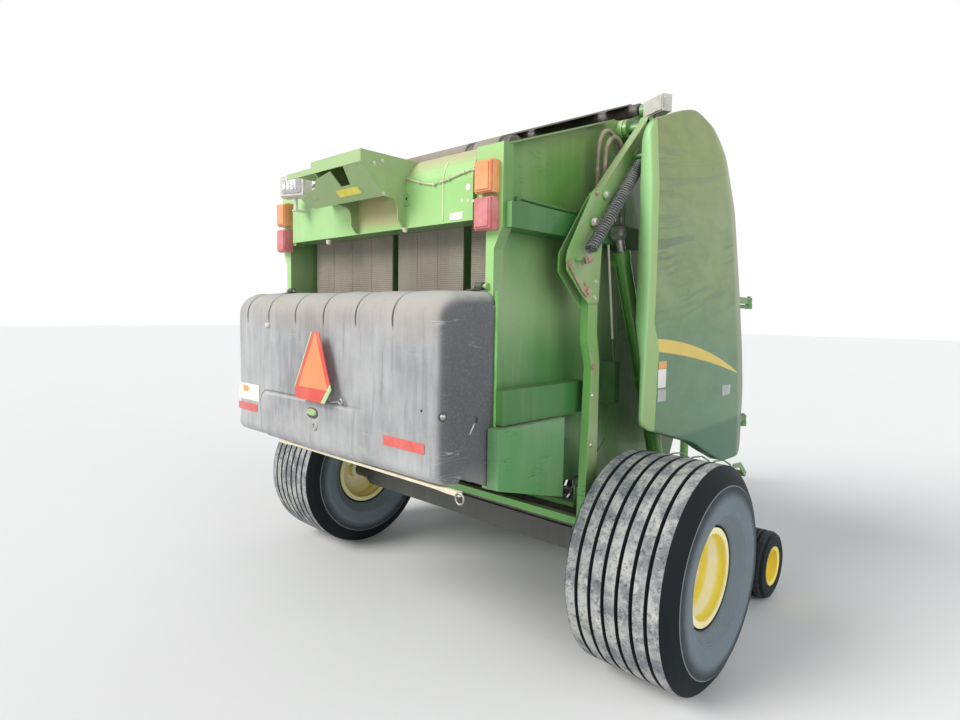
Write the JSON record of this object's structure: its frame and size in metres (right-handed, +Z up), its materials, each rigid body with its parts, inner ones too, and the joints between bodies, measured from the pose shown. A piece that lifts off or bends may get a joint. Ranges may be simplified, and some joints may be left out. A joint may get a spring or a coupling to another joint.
{
  "type": "round baler",
  "caption": "Towed round baler: belt chamber with a top-hinged rear gate and net cover, swinging side shields, tined pickup, ribbed tyres and A-frame drawbar on its jack.",
  "frame": {"origin": "on the ground under the middle of the whole machine", "axes": "+Y forward along the direction of travel, +X to the machine's right side, +Z up"},
  "size_m": [3.112, 4.47, 2.8728],
  "materials": {
    "green_paint": "weathered green enamel, dusty",
    "lime_paint": "sun-faded green enamel with rust spots",
    "wheel_yellow": "yellow enamel, dusty",
    "tyre_rubber": "dusty ribbed rubber",
    "belt_rubber": "woven rubber belting with a diamond face",
    "bare_steel": "worn bare steel",
    "roller_steel": "dark worn roller steel",
    "spring_steel": "black spring wire",
    "cover_plastic": "weathered grey moulded plastic",
    "guard_plastic": "black moulded plastic",
    "amber_lens": "amber lens",
    "red_lens": "red lens",
    "lamp_housing": "grey lamp housing",
    "sign_orange": "orange and red reflective sheet",
    "cream_paint": "cream painted rod",
    "hose_rubber": "dusty tan hydraulic hose"
  },
  "bodies": {
    "chassis": {"main_frame": "green_paint", "side_brackets": "green_paint", "shield_posts": "green_paint", "axle": "green_paint", "drawbar": "green_paint", "hitch_clevis": "green_paint", "gearbox": "green_paint", "pto_guard": "guard_plastic", "jack_tube": "green_paint", "jack_leg": "bare_steel", "front_cover": "green_paint", "frame_belts": "belt_rubber", "drive_roller": "roller_steel", "work_lamp_side": "lamp_housing"},
    "wheel_right": {"tyre_right": "tyre_rubber", "rim_right": "wheel_yellow"},
    "wheel_left": {"tyre_left": "tyre_rubber", "rim_left": "wheel_yellow"},
    "pickup": {"pickup_frame": "green_paint", "stripper_bands": "roller_steel", "wind_guard": "green_paint", "gauge_arms": "green_paint"},
    "reel": {"tine_reel": "bare_steel"},
    "gauge_wheel_right": {"gauge_tyre_right": "tyre_rubber", "gauge_rim_right": "wheel_yellow"},
    "gauge_wheel_left": {"gauge_tyre_left": "tyre_rubber", "gauge_rim_left": "wheel_yellow"},
    "shield_right": {"side_shield_right": "green_paint"},
    "shield_left": {"side_shield_left": "green_paint"},
    "gate": {"gate_frame": "green_paint", "side_beams": "green_paint", "corner_boxes": "green_paint", "rear_visor": "lime_paint", "rear_arms": "lime_paint", "arm_springs": "spring_steel", "gate_belts": "belt_rubber", "gate_rollers": "roller_steel", "tail_lamps_amber": "amber_lens", "tail_lamps_red": "red_lens", "work_lamp_rear": "lamp_housing", "indicator_rod": "cream_paint", "hose_rear": "hose_rubber", "hose_front": "hose_rubber", "hose_fittings": "bare_steel", "sensor_box": "bare_steel", "lamp_cable": "hose_rubber"},
    "net_lid": {"net_cover": "cover_plastic", "slow_sign": "sign_orange"},
    "discharge_roll": {"discharge_roller": "roller_steel"},
    "starter_roll": {"starter_roller": "roller_steel"},
    "floor_roll": {"floor_roller": "roller_steel"},
    "driveline": {"pto_shaft": "bare_steel"},
    "cylinder_right": {"gate_cylinder_right": "green_paint"},
    "cylinder_left": {"gate_cylinder_left": "green_paint"},
    "piston_right": {"gate_rod_right": "bare_steel"},
    "piston_left": {"gate_rod_left": "bare_steel"}
  },
  "joints": [
    {"name": "wheel_right_spin", "type": "hinge", "parent": "chassis", "child": "wheel_right", "pos_m": [1.283, -1.115, 0.512], "axis": [1, 0, 0], "continuous": true},
    {"name": "wheel_left_spin", "type": "hinge", "parent": "chassis", "child": "wheel_left", "pos_m": [-1.283, -1.115, 0.512], "axis": [1, 0, 0], "continuous": true},
    {"name": "gate_hinge", "type": "hinge", "parent": "chassis", "child": "gate", "pos_m": [0, -0.835, 2.66], "axis": [-1, 0, 0], "range_deg": [0, 62]},
    {"name": "net_lid_hinge", "type": "hinge", "parent": "gate", "child": "net_lid", "pos_m": [0, -1.883, 1.795], "axis": [-1, 0, 0], "range_deg": [0, 55]},
    {"name": "discharge_roller_spin", "type": "hinge", "parent": "gate", "child": "discharge_roll", "pos_m": [0, -1.248, 0.663], "axis": [1, 0, 0], "continuous": true},
    {"name": "shield_right_hinge", "type": "hinge", "parent": "chassis", "child": "shield_right", "pos_m": [1.132, 0.225, 1.4], "axis": [0, 0, 1], "range_deg": [0, 95]},
    {"name": "shield_left_hinge", "type": "hinge", "parent": "chassis", "child": "shield_left", "pos_m": [-1.132, 0.225, 1.4], "axis": [0, 0, -1], "range_deg": [0, 95]},
    {"name": "pickup_lift", "type": "hinge", "parent": "chassis", "child": "pickup", "pos_m": [0, -0.265, 0.62], "axis": [1, 0, 0], "range_deg": [0, 12]},
    {"name": "reel_spin", "type": "hinge", "parent": "pickup", "child": "reel", "pos_m": [0, 0.195, 0.4], "axis": [1, 0, 0], "continuous": true},
    {"name": "gauge_wheel_right_spin", "type": "hinge", "parent": "pickup", "child": "gauge_wheel_right", "pos_m": [1.3, 0.025, 0.2], "axis": [1, 0, 0], "continuous": true},
    {"name": "gauge_wheel_left_spin", "type": "hinge", "parent": "pickup", "child": "gauge_wheel_left", "pos_m": [-1.3, 0.025, 0.2], "axis": [1, 0, 0], "continuous": true},
    {"name": "starter_roller_spin", "type": "hinge", "parent": "chassis", "child": "starter_roll", "pos_m": [0, -0.325, 0.9], "axis": [1, 0, 0], "continuous": true},
    {"name": "floor_roller_spin", "type": "hinge", "parent": "chassis", "child": "floor_roll", "pos_m": [0, -0.785, 0.8], "axis": [1, 0, 0], "continuous": true},
    {"name": "driveline_spin", "type": "hinge", "parent": "chassis", "child": "driveline", "pos_m": [0, 0.305, 1.06], "axis": [0, 0.9932, -0.1168], "continuous": true},
    {"name": "cylinder_right_pin", "type": "hinge", "parent": "chassis", "child": "cylinder_right", "pos_m": [0.955, -0.541, 0.76], "axis": [1, 0, 0], "range_deg": [0, 5]},
    {"name": "cylinder_right_stroke", "type": "slide", "parent": "cylinder_right", "child": "piston_right", "axis": [0, -0.3828, 0.9238], "range_m": [0, 0.66]},
    {"name": "cylinder_left_pin", "type": "hinge", "parent": "chassis", "child": "cylinder_left", "pos_m": [-0.955, -0.541, 0.76], "axis": [1, 0, 0], "range_deg": [0, 5]},
    {"name": "cylinder_left_stroke", "type": "slide", "parent": "cylinder_left", "child": "piston_left", "axis": [0, -0.3828, 0.9238], "range_m": [0, 0.66]}
  ],
  "couplings": [
    {"joint": "cylinder_right_pin", "follows": "gate_hinge", "ratio": 0.06299},
    {"joint": "cylinder_right_stroke", "follows": "gate_hinge", "m_per_rad": 0.58884},
    {"joint": "cylinder_left_pin", "follows": "gate_hinge", "ratio": 0.06299},
    {"joint": "cylinder_left_stroke", "follows": "gate_hinge", "m_per_rad": 0.58884}
  ]
}
